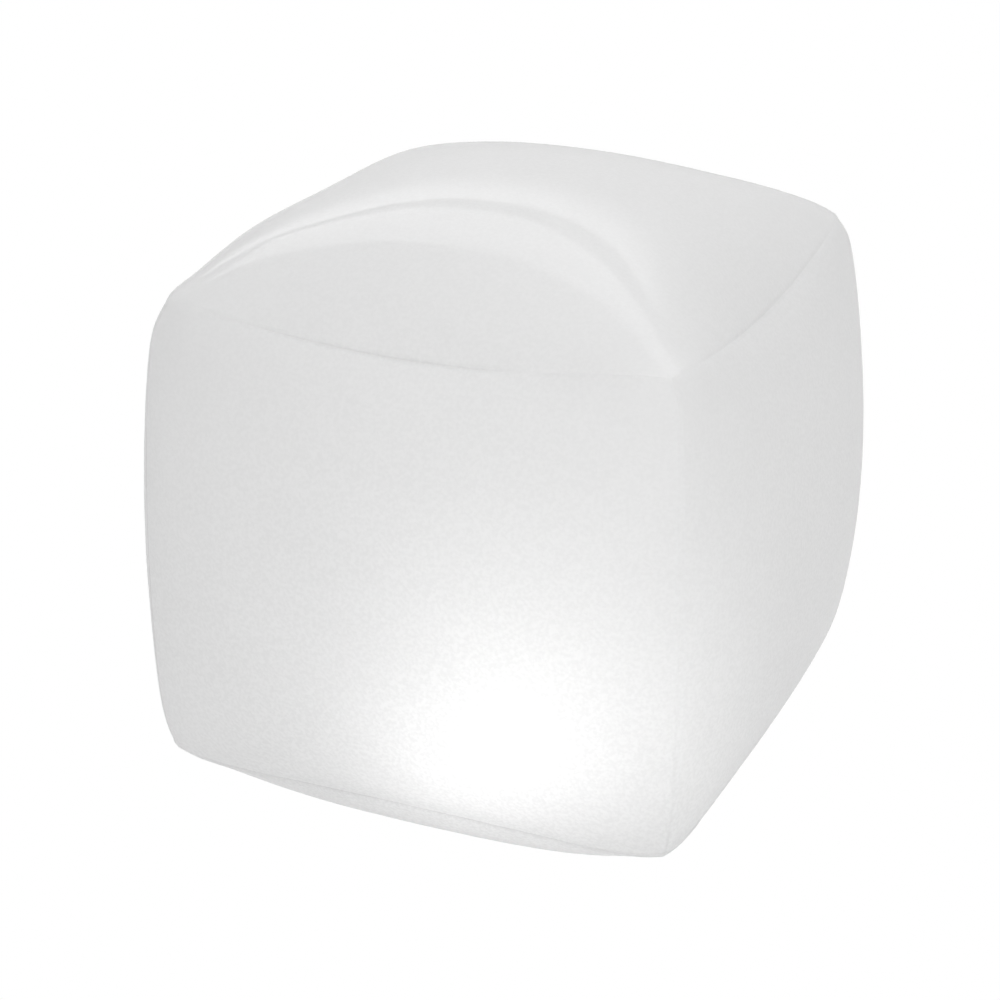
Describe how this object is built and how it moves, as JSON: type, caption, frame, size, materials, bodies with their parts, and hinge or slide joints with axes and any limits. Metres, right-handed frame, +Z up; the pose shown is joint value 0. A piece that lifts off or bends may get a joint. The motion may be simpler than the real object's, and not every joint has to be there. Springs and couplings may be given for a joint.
{
  "type": "inflatable cube light",
  "caption": "Inflatable cube light of frosted film with a battery lamp pressed into its bottom; floats or stands.",
  "frame": {"origin": "middle of the footprint, on the plane that the foot of the socket ring stands on", "axes": "+Z up through the lamp, front panel faces -Y, right panel faces +X, the air valve is low in the back panel"},
  "size_m": [0.23, 0.23, 0.224],
  "materials": {
    "film": "frosted translucent vinyl film, satin outside, lit from within",
    "ring_vinyl": "thick soft translucent vinyl, satin",
    "housing_plastic": "white moulded plastic, fine grain",
    "cover_plastic": "white moulded plastic, fine grain",
    "seal_silicone": "soft grey-white silicone",
    "cell_wrap": "plain shrink wrap over steel",
    "tray_plastic": "white moulded plastic",
    "contact_steel": "nickel plated spring steel",
    "board_laminate": "laminate board with solder mask",
    "led_lens": "clear resin over a white package",
    "chip_resin": "moulded resin",
    "switch_plastic": "moulded plastic",
    "button_silicone": "soft grey button",
    "reflector_white": "bright white moulded plastic",
    "dome_diffuser": "frosted white diffuser, lit from within",
    "screw_steel": "zinc plated",
    "valve_vinyl": "clear soft vinyl"
  },
  "bodies": {
    "root": {"front_panel": "film", "right_panel": "film", "back_panel": "film", "left_panel": "film", "top_panel": "film", "bottom_panel": "film", "socket_ring": "ring_vinyl", "module_housing": "housing_plastic", "battery_1": "cell_wrap", "battery_2": "cell_wrap", "battery_3": "cell_wrap", "battery_tray": "tray_plastic", "contact_plates": "contact_steel", "contact_springs": "contact_steel", "circuit_board": "board_laminate", "leds": "led_lens", "control_chip": "chip_resin", "resistors": "chip_resin", "push_switch": "switch_plastic", "button_seal": "seal_silicone", "reflector": "reflector_white", "dome_seal": "seal_silicone", "light_dome": "dome_diffuser", "housing_screws": "screw_steel", "board_screws": "screw_steel", "valve_base": "valve_vinyl"},
    "cover_seal": {"cover_seal": "seal_silicone"},
    "battery_cover": {"battery_cover": "cover_plastic"},
    "power_button": {"power_button": "button_silicone", "switch_plunger": "switch_plastic"},
    "valve_stem": {"valve_stem": "valve_vinyl"},
    "valve_plug": {"valve_plug": "valve_vinyl"},
    "valve_flap": {"valve_flap": "valve_vinyl"}
  },
  "joints": [
    {"name": "cover_lift", "type": "slide", "parent": "root", "child": "cover_seal", "axis": [0, 0, -1], "range_m": [0, 0.00375]},
    {"name": "cover_turn", "type": "hinge", "parent": "cover_seal", "child": "battery_cover", "pos_m": [-0.00747, 0, 0.0017], "axis": [0, 0, 1], "range_deg": [0, 450.1]},
    {"name": "power_push", "type": "slide", "parent": "root", "child": "power_button", "axis": [0, 0, 1], "range_m": [0, 0.0008], "stiffness_N_per_m": 1500},
    {"name": "valve_pull", "type": "slide", "parent": "root", "child": "valve_stem", "axis": [-0.078, 0.9671, -0.2421], "range_m": [0, 0.005]},
    {"name": "plug_open", "type": "hinge", "parent": "valve_stem", "child": "valve_plug", "pos_m": [-0.04534, 0.10765, 0.04763], "axis": [0.0195, -0.2413, -0.9703], "range_deg": [0, 110]},
    {"name": "flap_open", "type": "hinge", "parent": "valve_stem", "child": "valve_flap", "pos_m": [-0.04682, 0.09361, 0.05109], "axis": [-0.0195, 0.2413, 0.9703], "range_deg": [0, 40], "stiffness_Nm_per_rad": 0.00005}
  ],
  "couplings": [
    {"joint": "cover_turn", "follows": "cover_lift", "rad_per_m": 2094.4}
  ]
}
